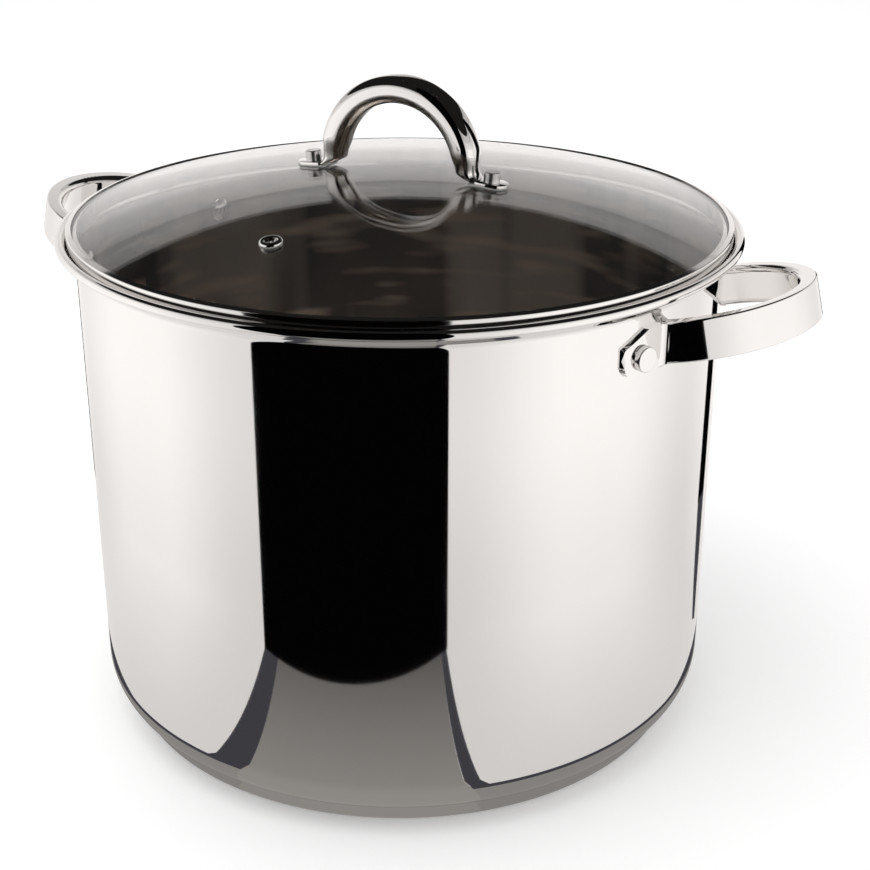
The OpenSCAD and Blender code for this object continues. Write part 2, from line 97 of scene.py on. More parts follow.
class Nodes:
    """A short way to add and join the nodes of one material."""

    def __init__(self, name: str) -> None:
        """Starts an empty node material.

        Args:
            name: The material's name.
        """
        self.material = bpy.data.materials.new(name)
        self.material.use_nodes = True
        self.tree = self.material.node_tree
        self.tree.nodes.clear()
        self.output = self.add("ShaderNodeOutputMaterial")

    def add(self, kind: str, **settings: object) -> bpy.types.Node:
        """Adds one node.

        Args:
            kind: Blender's name for the node type.
            **settings: Attributes of the node, set after it is made.

        Returns:
            The new node.
        """
        node = self.tree.nodes.new(kind)
        for key, value in settings.items():
            setattr(node, key, value)
        return node

    def fed(self, kind: str, inputs: dict[str, object], **settings: object) -> bpy.types.Node:
        """Adds one node and fills its inputs.

        Args:
            kind: Blender's name for the node type.
            inputs: Plain values or sockets, by the name of the input.
            **settings: Attributes of the node, set before its inputs.

        Returns:
            The new node.
        """
        node = self.add(kind, **settings)
        for name, value in inputs.items():
            self.join(value, node.inputs[name])
        return node

    def join(self, value: object, target: Socket) -> None:
        """Links an output to an input, or gives the input a plain value."""
        if isinstance(value, Socket):
            self.tree.links.new(value, target)
        else:
            target.default_value = value

    def math(self, operation: str, *values: object) -> Socket:
        """Adds a Math node.

        Args:
            operation: The Math node's operation.
            *values: Sockets or numbers for its inputs, in order.

        Returns:
            The node's output.
        """
        node = self.add("ShaderNodeMath", operation=operation)
        for index, value in enumerate(values):
            self.join(value, node.inputs[index])
        return node.outputs[0]

    def remap(self, value: Socket, low: float, high: float, start: float = 0.0, end: float = 1.0) -> Socket:
        """Maps a value from the span start to end onto the span low to high."""
        inputs = {"Value": value, "From Min": start, "From Max": end, "To Min": low, "To Max": high}
        return self.fed("ShaderNodeMapRange", inputs).outputs["Result"]

    def ramp(self, value: Socket, stops: tuple[Pair, ...]) -> Socket:
        """Maps a value through stops, each a place from 0 to 1 and a brightness, with eased steps."""
        node = self.add("ShaderNodeValToRGB")
        band = node.color_ramp
        band.interpolation = "EASE"
        while len(band.elements) < len(stops):
            band.elements.new(0.5)
        for element, (place, level) in zip(band.elements, stops):
            element.position = place
            element.color = (level, level, level, 1.0)
        self.join(value, node.inputs["Fac"])
        return node.outputs["Color"]

    def mix(self, factor: Socket, first: Socket | tuple[float, ...], second: tuple[float, ...]) -> Socket:
        """Blends one colour into another.

        Args:
            factor: How much of the second colour shows.
            first: The first colour, as a socket or four numbers.
            second: The second colour, as four numbers.

        Returns:
            The blended colour.
        """
        inputs = {"Factor": factor, "A": first, "B": second}
        return self.fed("ShaderNodeMix", inputs, data_type="RGBA").outputs["Result"]

    def position(self) -> Socket:
        """Adds the object's own coordinates, in metres."""
        return self.add("ShaderNodeTexCoord").outputs["Object"]

    def split(self) -> tuple[Socket, Socket, Socket]:
        """Adds the X, Y and Z of the object's own coordinates."""
        parts = self.add("ShaderNodeSeparateXYZ")
        self.join(self.position(), parts.inputs[0])
        return tuple(parts.outputs)

    def reach(self, x: Socket, y: Socket) -> Socket:
        """Adds the distance from the Z axis."""
        return self.math("SQRT", self.math("ADD", self.math("MULTIPLY", x, x), self.math("MULTIPLY", y, y)))

    def stretched(self, *scale: float) -> Socket:
        """Adds the object's coordinates, scaled along each axis."""
        inputs = {"Scale": scale, "Vector": self.position()}
        return self.fed("ShaderNodeMapping", inputs, vector_type="POINT").outputs["Vector"]

    def polar(self, *scale: float) -> Socket:
        """Adds coordinates round the Z axis: radius, angle and height, each scaled."""
        x, y, z = self.split()
        places = (self.reach(x, y), self.math("ARCTAN2", y, x), z)
        joined = self.add("ShaderNodeCombineXYZ")
        for place, factor, target in zip(places, scale, joined.inputs):
            self.join(self.math("MULTIPLY", place, factor), target)
        return joined.outputs[0]

    def noise(self, vector: Socket, detail: float = 3.0, roughness: float = 0.6) -> Socket:
        """Adds a noise texture, whose size lies in its coordinates, and returns its value."""
        inputs = {"Vector": vector, "Scale": 1.0, "Detail": detail, "Roughness": roughness}
        return self.fed("ShaderNodeTexNoise", inputs).outputs["Fac"]

    def bump(
        self, height: Socket, distance: float, strength: float = 1.0, normal: Socket | None = None
    ) -> Socket:
        """Adds a bump node on top of another normal and returns the new normal."""
        inputs = {"Strength": strength, "Distance": distance, "Height": height}
        if normal is not None:
            inputs["Normal"] = normal
        return self.fed("ShaderNodeBump", inputs).outputs["Normal"]

    def principled(self, **values: object) -> Material:
        """Adds the surface shader, with plain values or sockets for its inputs, and returns the material."""
        inputs = {name.replace("_", " "): value for name, value in values.items()}
        shader = self.fed("ShaderNodeBsdfPrincipled", inputs)
        self.join(shader.outputs[0], self.output.inputs["Surface"])
        return self.material


# ---- finishes


class Grain(Enum):
    """Which way a steel surface was finished."""

    ROUND = "round"
    UPRIGHT = "upright"
    LOOSE = "loose"


def faded(tint: Triple, share: float = 1.0) -> tuple[float, ...]:
    """Returns a share of a colour, with full alpha."""
    return (*(share * part for part in tint), 1.0)


@dataclass(frozen=True)
class PaintedReflection:
    """Painted reflections on the inside of the pot: dark upright bands and short warm streaks.

    Attributes:
        colour: Colour of the painted warm reflection streaks.
        bands: How many painted dark reflection bands go round.
        band_turn: Where the painted dark bands start round the pot, in radians of their own wave.
        band_share: How much the even wave counts beside the noise; less than 0 dulls its troughs.
        painted_shade: Brightness of the steel in a painted dark reflection band.
        band_edge: Where in the pattern a painted dark band starts and where it is full.
        cover: How far a painted warm reflection streak hides the steel.
        mark_edge: Where in the pattern a painted warm streak starts and where it is full.
    """

    # Warm colour of the painted reflection streaks.
    colour: Triple = (0.98, 0.86, 0.74)
    bands: float = 6.0
    band_turn: float = -9.54
    band_share: float = -0.11
    # Brightness of the steel in the painted dark reflection bands.
    painted_shade: float = 0.34
    band_edge: Pair = (0.4, 0.64)
    cover: float = 0.9
    mark_edge: Pair = (0.52, 0.76)

    def over(self, nodes: Nodes, colour: Socket, tint: Triple) -> Socket:
        """Paints the dark reflection bands and the warm reflection streaks over a colour.

        Args:
            nodes: The steel's material.
            colour: The steel's colour.
            tint: The steel's plain tint, which the painted dark bands darken.

        Returns:
            The colour with its painted reflections.
        """
        x, y, _ = nodes.split()
        # Painted dark reflection bands at fixed turns round the pot, broken up by noise.
        turn = nodes.math("ARCTAN2", y, x)
        sweep = nodes.math("COSINE", nodes.math("MULTIPLY_ADD", turn, self.bands, self.band_turn))
        patchy = nodes.noise(nodes.polar(0.0, 5.0, 3.0), 1.0, 0.5)
        pattern = nodes.math("MULTIPLY_ADD", sweep, self.band_share, patchy)
        painted_shade = nodes.mix(nodes.remap(pattern, 0.0, 1.0, *self.band_edge), colour, faded(tint, self.painted_shade))
        # Painted warm reflection streaks.
        drift = nodes.noise(nodes.polar(20.0, 3.6, 130.0), 1.0, 0.4)
        return nodes.mix(nodes.remap(drift, 0.0, self.cover, *self.mark_edge), painted_shade, faded(self.colour))


@dataclass(frozen=True)
class Steel:
    """Stainless steel, from mirror-polished to brushed.

    Attributes:
        name: The material's name.
        tint: Its colour.
        roughness: Lowest and highest roughness across the surface.
        grain: The direction of its fine lines.
        grain_height: Depth of the fine lines, in metres.
        wave: Depth of the slow waviness of the sheet, in metres.
        painted_reflection: The painted dark reflection bands and warm reflection streaks on it, where it has
            any.
        metallic: How metallic the surface is; less where fine scratches scatter the light.
        smudge: How much darker the smudges are than the steel.
    """

    name: str
    tint: Triple = (0.80, 0.787, 0.776)
    roughness: Pair = (0.03, 0.07)
    grain: Grain = Grain.LOOSE
    grain_height: float = 2e-6
    wave: float = 0.0
    painted_reflection: PaintedReflection | None = None
    metallic: float = 1.0
    smudge: float = 0.94

    def lines(self, nodes: Nodes) -> Socket:
        """Returns the pattern of the fine lines."""
        if self.grain is Grain.ROUND:
            return nodes.noise(nodes.polar(2400.0, 3.0, 2400.0))
        if self.grain is Grain.UPRIGHT:
            return nodes.noise(nodes.polar(20.0, 260.0, 14.0))
        return nodes.noise(nodes.stretched(90.0, 90.0, 900.0))

    def build(self) -> Material:
        """Returns the material."""
        nodes = Nodes(self.name)
        lines = self.lines(nodes)
        smudge = nodes.noise(nodes.stretched(14.0, 14.0, 9.0))
        smears = nodes.remap(smudge, 0.0, 0.5, 0.35, 0.7)
        rough = nodes.math("ADD", smears, nodes.math("MULTIPLY", lines, 0.5))
        colour = nodes.mix(smudge, faded(self.tint), faded(self.tint, self.smudge))
        # The painted reflection bands and streaks go into the colour.
        if self.painted_reflection:
            colour = self.painted_reflection.over(nodes, colour, self.tint)
        normal = nodes.bump(lines, self.grain_height)
        if self.wave:
            sway = nodes.noise(nodes.polar(3.0, 2.2, 7.0), 1.0, 0.4)
            normal = nodes.bump(sway, self.wave, normal=normal)
        return nodes.principled(
            Base_Color=colour,
            Metallic=self.metallic,
            Roughness=nodes.remap(rough, *self.roughness, 0.1, 0.9),
            Normal=normal,
        )


@dataclass(frozen=True)
class Glass:
    """Clear tempered glass with a faint warm grey body tint."""

    name: str
    tint: Triple = (0.925, 0.912, 0.905)
    refraction: float = 1.5
    haze: float = 0.02

    def build(self) -> Material:
        """Returns the material."""
        nodes = Nodes(self.name)
        film = nodes.noise(nodes.stretched(22.0, 22.0, 22.0), 4.0)
        return nodes.principled(
            Base_Color=faded(self.tint),
            Transmission_Weight=1.0,
            IOR=self.refraction,
            Roughness=nodes.remap(film, 0.0, self.haze, 0.4, 0.8),
        )


@dataclass(frozen=True)
class Silicone:
    """Translucent grey silicone rubber."""

    name: str
    tint: Triple = (0.42, 0.42, 0.40)
    roughness: Pair = (0.45, 0.65)
    scatter: float = 0.001

    def build(self) -> Material:
        """Returns the material."""
        nodes = Nodes(self.name)
        dust = nodes.noise(nodes.stretched(400.0, 400.0, 400.0), roughness=0.5)
        return nodes.principled(
            Base_Color=faded(self.tint),
            Roughness=nodes.remap(dust, *self.roughness),
            Subsurface_Weight=0.1,
            Subsurface_Radius=(self.scatter,) * 3,
            Normal=nodes.bump(dust, 2e-5, 0.4),
        )


Finish = Steel | Glass | Silicone

MIRROR = Steel("mirror_steel", roughness=(0.025, 0.06), grain=Grain.UPRIGHT, grain_height=6e-7, wave=4e-5)
# The inside's satin steel carries the painted reflection bands and streaks.
SATIN = Steel(
    "satin_inside", tint=(0.71, 0.68, 0.65), roughness=(0.34, 0.5), grain=Grain.ROUND, grain_height=1.2e-5,
    painted_reflection=PaintedReflection(), metallic=0.72,
)
BASE = Steel(
    "base_steel", tint=(0.76, 0.755, 0.75), roughness=(0.08, 0.2), grain=Grain.ROUND, grain_height=5e-6
)
CORE = Steel("core_aluminium", tint=(0.78, 0.78, 0.79), roughness=(0.3, 0.45), grain=Grain.ROUND)
HANDLE = Steel("handle_steel", roughness=(0.03, 0.08), grain_height=1e-6)
RIVET = Steel("rivet_steel", roughness=(0.06, 0.14))
BAND = Steel("band_steel", roughness=(0.05, 0.12), grain=Grain.ROUND, grain_height=1e-6)
EYELET = Steel("eyelet_steel", roughness=(0.06, 0.12))
FASTENER = Steel("fastener_steel", tint=(0.80, 0.79, 0.78), roughness=(0.22, 0.34), grain_height=3e-6)
GLASS = Glass("lid_glass")
SEAL = Silicone("seal_silicone")


@functools.cache
def coat(finish: Finish) -> Material:
    """Returns the material of a finish, made on first use."""
    return finish.build()


# ---- modelling tools


class Outline:
    """An outline in the XZ plane, drawn with a pen in millimetres and spun round Z."""

    def __init__(self, x: float, z: float) -> None:
        """Puts the pen down at a first point."""
        self.mesh = bmesh.new()
        self.pen = self.mesh.verts.new((x * MM, 0.0, z * MM))
        self.first = self.pen

    def line(self, x: float, z: float, steps: int = 1) -> Outline:
        """Draws a straight line to a point, in equal steps."""
        start = self.pen.co.copy()
        end = Vector((x * MM, 0.0, z * MM))
        for step in range(1, steps + 1):
            new = bmesh.ops.extrude_vert_indiv(self.mesh, verts=[self.pen])["verts"][0]
            new.co = start.lerp(end, step / steps)
            self.pen = new
        return self

    def wall(self, x: float, z: float, steps: int, guard: float) -> Outline:
        """Draws a straight line with one short step at each end, which keeps its reflections straight."""
        start = self.pen.co / MM
        length = math.hypot(x - start.x, z - start.z)
        share = guard / length
        self.line(start.x + (x - start.x) * share, start.z + (z - start.z) * share)
        self.line(x - (x - start.x) * share, z - (z - start.z) * share, steps)
        return self.line(x, z)

    def arc(self, x: float, z: float, degrees: float, steps: int) -> Outline:
        """Draws an arc about a centre; a positive angle turns clockwise."""
        done = bmesh.ops.spin(
            self.mesh, geom=[self.pen], cent=(x * MM, 0.0, z * MM), axis=(0.0, 1.0, 0.0),
            angle=math.radians(degrees), steps=steps,
        )
        self.pen = [v for v in done["geom_last"] if isinstance(v, bmesh.types.BMVert)][0]
        return self

    def close(self) -> Outline:
        """Joins the last point to the first."""
        self.mesh.edges.new((self.pen, self.first))
        return self

    def spin(self) -> BMesh:
        """Spins the outline round Z and returns the closed shell."""
        bmesh.ops.spin(
            self.mesh, geom=self.mesh.verts[:] + self.mesh.edges[:], cent=ORIGIN,
            axis=UP, angle=math.tau, steps=ROUND_SEGMENTS, use_merge=True,
        )
        bmesh.ops.remove_doubles(self.mesh, verts=self.mesh.verts[:], dist=MERGE_DISTANCE)
        bmesh.ops.recalc_face_normals(self.mesh, faces=self.mesh.faces[:])
        return self.mesh


def make_piece(
    name: str, mesh: BMesh, materials: list[Material], sharp_angle: float = SHARP_ANGLE
) -> Object:
    """Turns a bmesh into a smooth-shaded object at the origin.

    Args:
        name: The piece's name.
        mesh: The finished bmesh, which is freed.
        materials: The piece's materials, in the order of its faces' indices.
        sharp_angle: Edges steeper than this many degrees stay sharp.

    Returns:
        The new object.
    """
    data = bpy.data.meshes.new(name)
    mesh.to_mesh(data)
    mesh.free()
    for material in materials:
        data.materials.append(material)
    data.shade_smooth()
    data.set_sharp_from_angle(angle=math.radians(sharp_angle))
    piece = bpy.data.objects.new(name, data)
    bpy.context.scene.collection.objects.link(piece)
    return piece


@dataclass
class Shop:
    """What every sub-assembly needs to put its pieces in place."""

    nodes: dict[str, Object]
    count: int = 0

    def place(self, piece: Object, body: str, slot: str, replaced: str) -> None:
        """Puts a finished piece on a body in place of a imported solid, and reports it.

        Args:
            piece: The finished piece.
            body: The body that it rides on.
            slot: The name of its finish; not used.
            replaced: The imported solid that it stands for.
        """
        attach(piece, body)
        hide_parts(replaced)
        self.count += 1
        LOG.info("%s rides on %s: %d faces", piece.name, body, len(piece.data.polygons))

    def copy(self, node: str, name: str, body: str, finish: Finish, flat_faces: bool = True) -> None:
        """Puts a merged, smooth-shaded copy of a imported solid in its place.

        Args:
            node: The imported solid.
            name: The new piece's name.
            body: The body that it rides on.
            finish: Its finish, whose name is its slot too.
            flat_faces: Whether its large faces are flat, and keep their own shading beside small rounds.
        """
        mesh = bmesh.new()
        mesh.from_mesh(self.nodes[node].data)
        bmesh.ops.remove_doubles(mesh, verts=mesh.verts[:], dist=MERGE_DISTANCE)
        piece = make_piece(name, mesh, [coat(finish)])
        if flat_faces:
            modifier = piece.modifiers.new("flat_faces", "WEIGHTED_NORMAL")
            modifier.keep_sharp = True
            modifier.weight = FLAT_FACE_WEIGHT
        self.place(piece, body, finish.name, node)

    def dress(self, node: str, finish: Finish) -> None:
        """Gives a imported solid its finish."""
        materials = self.nodes[node].data.materials
        materials.clear()
        materials.append(coat(finish))
        self.count += 1


# ---- pot


@dataclass
class PotBody:
    """The drawn shell and its capsule base, in millimetres."""

    wall_radius: float = 140.0
    height: float = 223.0
    sheet: float = 0.8
    corner_radius: float = 21.0
    lip_reach: float = 8.1
    bead_radius: float = 2.0
    flare_angle: float = 35.0
    bend_radius: float = 5.0
    roll: float = 285.0
    core: float = 4.0
    cap: float = 0.5
    cap_inset: float = 10.4
    cap_edge: float = 4.0
    guard: float = 0.6
    floor_steps: int = 16
    wall_steps: int = 30
    bend_steps: int = 10
    upward: float = 0.7

    def __post_init__(self) -> None:
        """Works out the points that the outline runs through."""
        self.inner = self.wall_radius - self.sheet
        self.floor = self.cap + self.core
        self.corner_x = self.wall_radius - self.corner_radius
        self.corner_z = self.floor + self.corner_radius
        self.bead_x = self.wall_radius + self.lip_reach - self.bead_radius
        self.bead_z = self.height - self.bead_radius
        slope = math.radians(self.flare_angle)
        self.flare = Vector((math.sin(slope), 0.0, math.cos(slope)))
        self.bend_x = self.wall_radius + self.bend_radius
        self.bend_inner = self.bend_radius + self.sheet
        top_x = self.bead_x - self.bead_radius * self.flare.z
        top_z = self.bead_z + self.bead_radius * self.flare.x
        self.bend_z = top_z - ((top_x - self.bend_x) * self.flare.z + self.bend_inner) / self.flare.x

    def shell_outline(self) -> Outline:
        """Draws the shell: up the outside, round the bead and down the inside."""
        hollow = self.bead_radius - self.sheet
        end = math.radians(180.0 - self.flare_angle - self.roll)
        end_x = self.bead_x + self.bead_radius * math.cos(end)
        pen = Outline(0.0, self.floor)
        pen.wall(self.corner_x, self.floor, self.floor_steps, self.guard)
        pen.arc(self.corner_x, self.corner_z, -90.0, 28)
        pen.wall(self.wall_radius, self.bend_z, self.wall_steps, self.guard)
        pen.arc(self.bend_x, self.bend_z, self.flare_angle, self.bend_steps)
        pen.wall(self.bead_x - hollow * self.flare.z, self.bead_z + hollow * self.flare.x, 2, self.guard / 4)
        pen.arc(self.bead_x, self.bead_z, self.roll, 30)
        pen.line(end_x, self.bead_z + self.bead_radius * math.sin(end))
        pen.arc(self.bead_x, self.bead_z, -self.roll, 36)
        pen.wall(
            self.bend_x - self.bend_inner * self.flare.z, self.bend_z + self.bend_inner * self.flare.x,
            2, self.guard / 4,
        )
        pen.arc(self.bend_x, self.bend_z, -self.flare_angle, self.bend_steps)
        pen.wall(self.inner, self.corner_z, self.wall_steps, self.guard)
        pen.arc(self.corner_x, self.corner_z, 90.0, 20)
        pen.wall(0.0, self.floor + self.sheet, self.floor_steps, self.guard)
        return pen

    def build_shell(self, shop: Shop) -> None:
        """Models the shell, mirror-polished outside and satin inside."""
        mesh = self.shell_outline().spin()
        rim_z = self.bend_z * MM
        inner = self.inner * MM
        for face in mesh.faces:
            middle = face.calc_center_median()
            radius = math.hypot(middle.x, middle.y)
            turned_in = face.normal.x * middle.x + face.normal.y * middle.y < 0.0
            faces_in = turned_in or face.normal.z > self.upward
            face.material_index = int(faces_in and middle.z < rim_z and radius < inner + self.sheet * MM / 2)
        piece = make_piece("shell", mesh, [coat(MIRROR), coat(SATIN)])
        shop.place(piece, "pot", "mirror_steel", "pot_shell")

    def build_base(self, shop: Shop) -> None:
        """Models the steel cap of the capsule and dresses the core inside it."""
        cap_radius = self.wall_radius - self.cap_inset
        drop = math.sqrt(self.corner_radius**2 - (cap_radius - self.corner_x) ** 2)
        seam = self.corner_z - drop
        inner_radius = cap_radius - self.cap
        inner_drop = math.sqrt(self.corner_radius**2 - (inner_radius - self.corner_x) ** 2)
        pen = Outline(0.0, 0.0)
        pen.wall(cap_radius - self.cap_edge, 0.0, 20, self.guard)
        pen.arc(cap_radius - self.cap_edge, self.cap_edge, -90.0, 14)
        pen.wall(cap_radius, seam, 2, self.guard / 3)
        pen.line(inner_radius, self.corner_z - inner_drop)
        pen.line(inner_radius, self.cap_edge)
        pen.arc(cap_radius - self.cap_edge, self.cap_edge, 90.0, 10)
        pen.wall(0.0, self.cap, 4, self.guard)
        piece = make_piece("base_shell", pen.spin(), [coat(BASE)])
        shop.place(piece, "pot", "base_steel", "base_cap")
        shop.dress("base_core_disc", CORE)

    def build(self, shop: Shop) -> None:
        """Models the whole body."""
        self.build_shell(shop)
        self.build_base(shop)


@dataclass
class SideHandles:
    """The two loop handles and their rivets."""

    sides: tuple[str, str] = ("right", "left")

    def build(self, shop: Shop) -> None:
        """Makes both handles and dresses their rivets."""
        for side in self.sides:
            shop.copy(f"side_handle_{side}", f"loop_handle_{side}", "pot", HANDLE)
            for end in ("front", "back"):
                rivet = f"rivet_{side}_{end}"
                shop.copy(rivet, f"{rivet}_head", "pot", RIVET)


# ---- lid


def dome_centre(dome: float) -> float:
    """Returns the height of the centre of the lid's spheres, in millimetres."""
    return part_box("lid_glass")[1].z / MM - dome


@dataclass
class RimBand:
    """The band folded round the glass edge, with its skirt, in millimetres.

    Its laps follow spheres round the dome's centre, which lies at height
    ``centre``.
    """

    dome: float
    glass: float
    radius: float = 143.3
    sheet: float = 0.5
    lap: float = 1.9
    corner: float = 0.8
    film: float = 0.1
    skirt_radius: float = 138.4
    skirt_depth: float = 6.0
    edge: float = 0.12
    closing: float = 0.9

    def __post_init__(self) -> None:
        """Works out the spheres and the middles of the two rounded corners."""
        self.centre = dome_centre(self.dome)
        self.over = self.dome + self.film
        self.top = self.over + self.sheet
        self.under = self.dome - self.glass - self.film
        self.bottom = self.under - self.sheet
        self.corner_x = self.radius - self.corner

    def on(self, sphere: float, x: float) -> Pair:
        """Returns the point of a sphere at a distance from the axis."""
        return x, self.centre + math.sqrt(sphere**2 - x**2)

    def sweep(self, pen: Outline, sphere: float, start: float, end: float) -> None:
        """Draws along a sphere between two distances from the axis."""
        turn = math.asin(end / sphere) - math.asin(start / sphere)
        pen.arc(0.0, self.centre, math.degrees(turn), 4)

    def outline(self) -> Outline:
        """Draws the folded section: upper lap, round edge, lower lap and skirt."""
        lap_x = self.radius - self.sheet - self.lap
        inner_x = self.radius - self.sheet
        skirt_in = self.skirt_radius - self.sheet
        upper = self.on(self.top - self.corner, self.corner_x)
        lower = self.on(self.bottom + self.corner, self.corner_x)
        upper_turn = math.asin(self.corner_x / (self.top - self.corner))
        lower_turn = math.asin(self.corner_x / (self.bottom + self.corner))
        pen = Outline(*self.on(self.over, lap_x))
        lap_top = self.on(self.top, lap_x)
        pen.line(lap_top[0], lap_top[1] - self.edge)
        pen.line(*self.on(self.top, lap_x + self.edge))
        self.sweep(pen, self.top, lap_x + self.edge, self.top * math.sin(upper_turn))
        pen.arc(*upper, 90.0 - math.degrees(upper_turn), 8)
        pen.line(self.radius, lower[1], 3)
        pen.arc(*lower, 90.0 + math.degrees(lower_turn), 10)
        self.sweep(pen, self.bottom, self.bottom * math.sin(lower_turn), self.skirt_radius)
        foot = self.on(self.under, self.skirt_radius)[1] - self.skirt_depth
        pen.line(self.skirt_radius, foot, 3)
        pen.line(skirt_in, foot)
        pen.line(*self.on(self.under, skirt_in), 3)
        self.sweep(pen, self.under, skirt_in, inner_x)
        pen.line(*self.on(self.over, inner_x), 3)
        turn = math.asin(lap_x / self.over) - math.asin(inner_x / self.over)
        pen.arc(0.0, self.centre, math.degrees(turn) * self.closing, 2)
        return pen.close()

    def build(self, shop: Shop) -> None:
        """Turns the band."""
        piece = make_piece("rim_band", self.outline().spin(), [coat(BAND)])
        shop.place(piece, "lid", "band_steel", "lid_rim_band")


@dataclass
class BowHandle:
    """The bent tube over the lid, necked in and pinched into a lug at each end, in millimetres."""

    dome: float
    outer: float = 37.5
    thick: float = 11.4
    wide: float = 13.8
    rounding: float = 4.6
    neck_angle: float = 16.0
    neck_thick: float = 8.8
    neck_wide: float = 11.4
    foot_thick: float = 4.2
    foot_wide: float = 10.2
    foot_x: float = 36.3
    lug_sheet: float = 1.4
    lug_rise: float = 1.9
    lug_wide: float = 10.4
    lug_tip: float = 7.4
    lug_back: float = 8.8
    screw_x: float = 42.9
    edge: float = 0.3
    sides: int = 48
    neck_steps: int = 7
    bow_steps: int = 34
    pinch: float = 1.7

    def __post_init__(self) -> None:
        """Finds the middle of the bow."""
        self.centre = dome_centre(self.dome)
        self.middle_r = self.outer - self.thick / 2.0
        self.middle_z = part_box("lid_handle")[1].z / MM - self.outer

    def section(
        self, ring: list[bmesh.types.BMVert], x: float, z: float, angle: float, thick: float, wide: float
    ) -> None:
        """Lays a loop of points as one rounded section of the tube.

        Args:
            ring: The loop's points, in order.
            x: The section's middle, across the lid.
            z: The section's middle, upward.
            angle: Direction of the section's thickness in the plane of the bow, in radians.
            thick: Its size in that direction.
            wide: Its size across the bow.
        """
        share = thick / self.thick
        half_t, half_w = thick / 2.0, wide / 2.0
        round_t, round_w = self.rounding * share, self.rounding * wide / self.wide
        for index, vertex in enumerate(ring):
            turn = math.tau * (index + 0.5) / self.sides
            across, along = math.cos(turn), math.sin(turn)
            out = math.copysign(half_t - round_t, across) + round_t * across
            side = math.copysign(half_w - round_w, along) + round_w * along
            place = (x + out * math.cos(angle), side, z + out * math.sin(angle))
            vertex.co = [part * MM for part in place]

    def path(self) -> list[tuple[float, float, float, float, float]]:
        """Lists the sections from the foot on the right to the top of the bow."""
        lug_top = self.centre + math.sqrt((self.dome + self.lug_rise) ** 2 - self.foot_x**2)
        foot_z = lug_top - self.lug_sheet / 2.0
        stops = []
        for step in range(self.neck_steps):
            rise = step / self.neck_steps
            bend = (1.0 - rise) ** self.pinch
            stops.append((
                self.middle_r + (self.foot_x - self.middle_r) * bend,
                foot_z + (self.middle_z - foot_z) * rise,
                0.0,
                self.neck_thick + (self.foot_thick - self.neck_thick) * bend,
                self.neck_wide + (self.foot_wide - self.neck_wide) * bend,
            ))
        for step in range(self.bow_steps + 1):
            angle = 90.0 * step / self.bow_steps
            share = min(1.0, angle / self.neck_angle)
            ease = share * share * (3.0 - 2.0 * share)
            turn = math.radians(angle)
            stops.append((
                self.middle_r * math.cos(turn),
                self.middle_z + self.middle_r * math.sin(turn),
                turn,
                self.neck_thick + (self.thick - self.neck_thick) * ease,
                self.neck_wide + (self.wide - self.neck_wide) * ease,
            ))
        return stops

    def tube(self) -> BMesh:
        """Sweeps the tube from one foot to the other and closes its ends."""
        half = self.path()
        whole = half + [(-x, z, math.pi - angle, *size) for x, z, angle, *size in reversed(half[:-1])]
        mesh = bmesh.new()
        ring = bmesh.ops.create_circle(mesh, segments=self.sides, radius=MM)["verts"]
        bmesh.ops.contextual_create(mesh, geom=ring)
        self.section(ring, *whole[0])
        edges = mesh.edges[:]
        for stop in whole[1:]:
            grown = bmesh.ops.extrude_edge_only(mesh, edges=edges)["geom"]
            edges = [item for item in grown if isinstance(item, bmesh.types.BMEdge)]
            ring = [item for item in grown if isinstance(item, bmesh.types.BMVert)]
            self.section(ring, *stop)
        bmesh.ops.contextual_create(mesh, geom=ring)
        return mesh

    def add_lug(self, mesh: BMesh, facing: float) -> None:
        """Adds the flat lug under one foot, with a softened edge, turned by an angle round Z."""
        radius = self.lug_wide / 2.0
        flat = bmesh.ops.create_circle(mesh, cap_ends=True, segments=self.sides, radius=radius * MM)["verts"]
        tip = self.lug_tip - radius
        back = self.lug_back - radius
        for vertex in flat:
            vertex.co.x += (tip if vertex.co.x > 0.0 else -back) * MM
        face = next(iter(flat[0].link_faces))
        top = bmesh.ops.extrude_face_region(mesh, geom=[face])["geom"]
        raised = [item for item in top if isinstance(item, bmesh.types.BMVert)]
        bmesh.ops.translate(mesh, verts=raised, vec=(0.0, 0.0, self.lug_sheet * MM))
        upper = set(raised)
        rims = [edge for edge in mesh.edges if upper.issuperset(edge.verts) and len(edge.link_faces) == 2]
        soft = bmesh.ops.bevel(
            mesh, geom=rims, offset=self.edge * MM, segments=3, profile=0.5, affect="EDGES"
        )["verts"]
        bottom = [vertex for vertex in flat if vertex.is_valid]
        points = list({*soft, *bottom, *(vertex for vertex in raised if vertex.is_valid)})
        slope = math.asin(self.screw_x / self.dome)
        lift = self.dome + self.lug_rise - self.lug_sheet
        frame = (
            Matrix.Rotation(facing, 4, "Z")
            @ Matrix.Translation((0.0, 0.0, self.centre * MM))
            @ Matrix.Rotation(slope, 4, "Y")
            @ Matrix.Translation((0.0, 0.0, lift * MM))
        )
        bmesh.ops.transform(mesh, matrix=frame, verts=points)

    def build(self, shop: Shop) -> None:
        """Makes the handle as one piece."""
        mesh = self.tube()
        for facing in (0.0, math.pi):
            self.add_lug(mesh, facing)
        bmesh.ops.recalc_face_normals(mesh, faces=mesh.faces[:])
        piece = make_piece("bow_handle", mesh, [coat(HANDLE)], sharp_angle=50.0)
        shop.place(piece, "lid", "handle_steel", "lid_handle")


